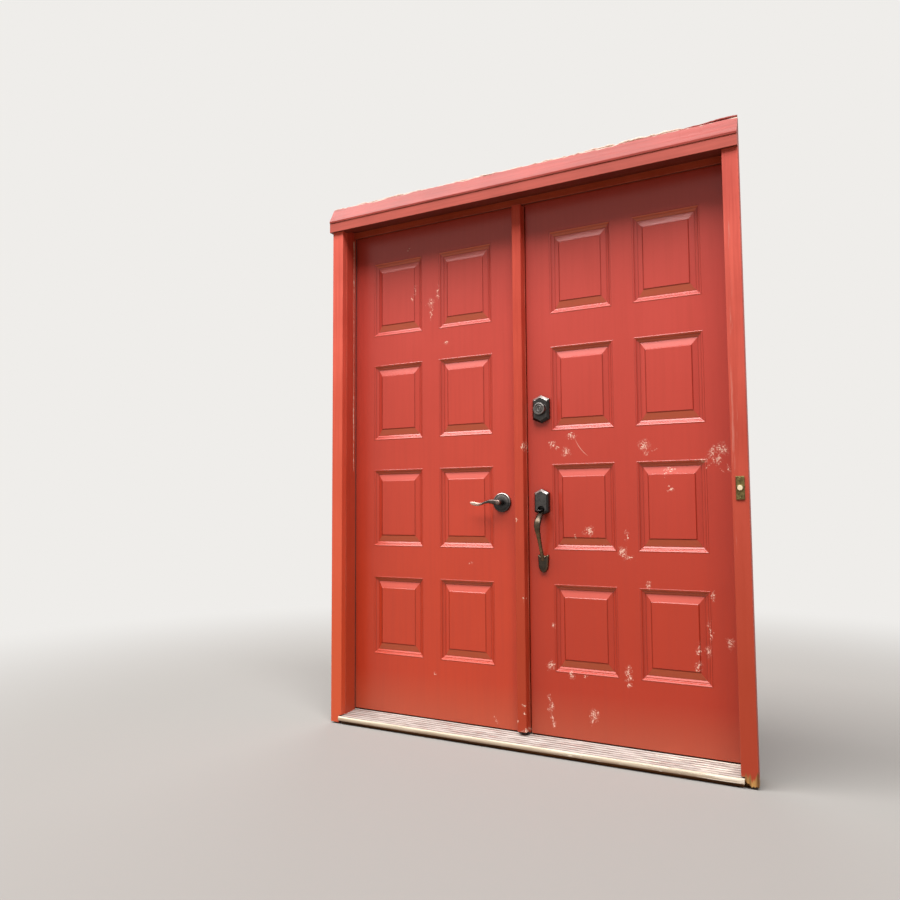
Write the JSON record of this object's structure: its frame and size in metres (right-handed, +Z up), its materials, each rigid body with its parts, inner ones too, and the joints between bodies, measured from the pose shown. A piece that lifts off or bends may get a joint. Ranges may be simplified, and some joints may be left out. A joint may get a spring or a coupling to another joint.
{
  "type": "double entry door",
  "caption": "Inswing double entry door of raised-panel insulated leaves with an astragal, locks and handles, hung in its painted frame with casings, drip cap and sloped sill.",
  "frame": {"origin": "middle of the sill's underside, below the plane of the leaves' outside faces", "axes": "+X to the right along the wall as seen from outside, +Y into the house, +Z up"},
  "size_m": [1.6664, 0.2121, 2.1716],
  "materials": {
    "red_paint": "exterior red paint on softwood, peeling in places",
    "leaf_paint": "brushed and rolled red paint on pressed steel, chipped to white primer",
    "leaf_timber": "bare sawn softwood",
    "foam": "rigid polyurethane foam",
    "sill_timber": "weathered, stained softwood",
    "sill_metal": "weathered mill aluminium with worn paint",
    "sill_vinyl": "weathered tan vinyl",
    "seal": "dull black-brown vinyl",
    "hinge_steel": "dull plated steel",
    "dark_bronze": "oil-rubbed bronze, worn lighter on its edges",
    "plated_steel": "zinc-plated steel",
    "plug_brass": "worn brass",
    "bell_brass": "tarnished olive-brown brass",
    "bell_ivory": "aged ivory plastic"
  },
  "bodies": {
    "frame": {"left_jamb": "red_paint", "right_jamb": "red_paint", "head_jamb": "red_paint", "head_stop": "red_paint", "left_casing": "red_paint", "right_casing": "red_paint", "head_casing": "red_paint", "drip_cap": "red_paint", "sill_base": "sill_timber", "sill_tread": "sill_metal", "sill_cap": "sill_vinyl", "side_weatherstrips": "seal", "head_weatherstrip": "seal", "left_hinge_frame_plates": "hinge_steel", "right_hinge_frame_plates": "hinge_steel", "hinge_pins": "hinge_steel", "doorbell_plate": "bell_brass"},
    "left_leaf": {"left_outer_skin": "leaf_paint", "left_inner_skin": "leaf_paint", "left_leaf_stiles": "leaf_timber", "left_leaf_rails": "leaf_timber", "left_foam_core": "foam", "left_door_sweep": "seal", "left_hinge_leaf_plates": "hinge_steel", "astragal": "red_paint", "astragal_seal": "seal", "astragal_foot_pad": "seal", "deadbolt_strike": "plated_steel", "latch_strike": "plated_steel", "flush_bolt_plates": "plated_steel", "left_outside_rose": "dark_bronze", "left_outside_lever": "dark_bronze", "left_inside_rose": "dark_bronze", "left_inside_lever": "dark_bronze"},
    "right_leaf": {"right_outer_skin": "leaf_paint", "right_inner_skin": "leaf_paint", "right_leaf_stiles": "leaf_timber", "right_leaf_rails": "leaf_timber", "right_foam_core": "foam", "lock_block": "leaf_timber", "right_door_sweep": "seal", "right_hinge_leaf_plates": "hinge_steel", "deadbolt_rose": "dark_bronze", "deadbolt_case": "plated_steel", "thumb_turn_rose": "dark_bronze", "handle_escutcheon": "dark_bronze", "pull_grip": "dark_bronze", "latch_case": "plated_steel", "right_inside_rose": "dark_bronze"},
    "bell_button": {"doorbell_button": "bell_ivory"},
    "head_bolt": {"head_bolt": "plated_steel"},
    "foot_bolt": {"foot_bolt": "plated_steel"},
    "deadbolt": {"deadbolt": "plated_steel"},
    "thumb_turn": {"thumb_turn": "dark_bronze"},
    "key_plug": {"key_plug": "plug_brass"},
    "latch_bolt": {"latch_bolt": "plated_steel"},
    "thumb_piece": {"thumb_piece": "dark_bronze"},
    "inside_lever": {"right_inside_lever": "dark_bronze"}
  },
  "joints": [
    {"name": "left_leaf_swing", "type": "hinge", "parent": "frame", "child": "left_leaf", "pos_m": [-0.7812, 0.051, 1], "axis": [0, 0, 1], "range_deg": [0, 110]},
    {"name": "right_leaf_swing", "type": "hinge", "parent": "frame", "child": "right_leaf", "pos_m": [0.7812, 0.051, 1], "axis": [0, 0, -1], "range_deg": [0, 110]},
    {"name": "doorbell_press", "type": "slide", "parent": "frame", "child": "bell_button", "axis": [0, 1, 0], "range_m": [0, 0.0018], "stiffness_N_per_m": 700, "springref_m": -0.002},
    {"name": "head_bolt_slide", "type": "slide", "parent": "left_leaf", "child": "head_bolt", "axis": [0, 0, 1], "range_m": [0, 0.02]},
    {"name": "foot_bolt_slide", "type": "slide", "parent": "left_leaf", "child": "foot_bolt", "axis": [0, 0, -1], "range_m": [0, 0.02]},
    {"name": "thumb_turn_turn", "type": "hinge", "parent": "right_leaf", "child": "thumb_turn", "pos_m": [0.08435, 0.06, 1.249], "axis": [0, 1, 0], "range_deg": [0, 90]},
    {"name": "deadbolt_throw", "type": "slide", "parent": "right_leaf", "child": "deadbolt", "axis": [-1, 0, 0], "range_m": [0, 0.0254]},
    {"name": "key_plug_turn", "type": "hinge", "parent": "right_leaf", "child": "key_plug", "pos_m": [0.08435, -0.02, 1.249], "axis": [0, 1, 0], "range_deg": [-90, 90]},
    {"name": "thumb_piece_release", "type": "hinge", "parent": "right_leaf", "child": "thumb_piece", "pos_m": [0.08435, -0.008, 0.876], "axis": [-1, 0, 0], "range_deg": [0, 14]},
    {"name": "latch_throw", "type": "slide", "parent": "right_leaf", "child": "latch_bolt", "axis": [-1, 0, 0], "range_m": [0, 0.012]},
    {"name": "inside_lever_press", "type": "hinge", "parent": "right_leaf", "child": "inside_lever", "pos_m": [0.08435, 0.06, 0.899], "axis": [0, 1, 0], "range_deg": [0, 45], "stiffness_Nm_per_rad": 0.6, "springref_deg": -34.38}
  ],
  "couplings": [
    {"joint": "deadbolt_throw", "follows": "thumb_turn_turn", "m_per_rad": 0.01617},
    {"joint": "latch_throw", "follows": "thumb_piece_release", "m_per_rad": 0.049111}
  ]
}
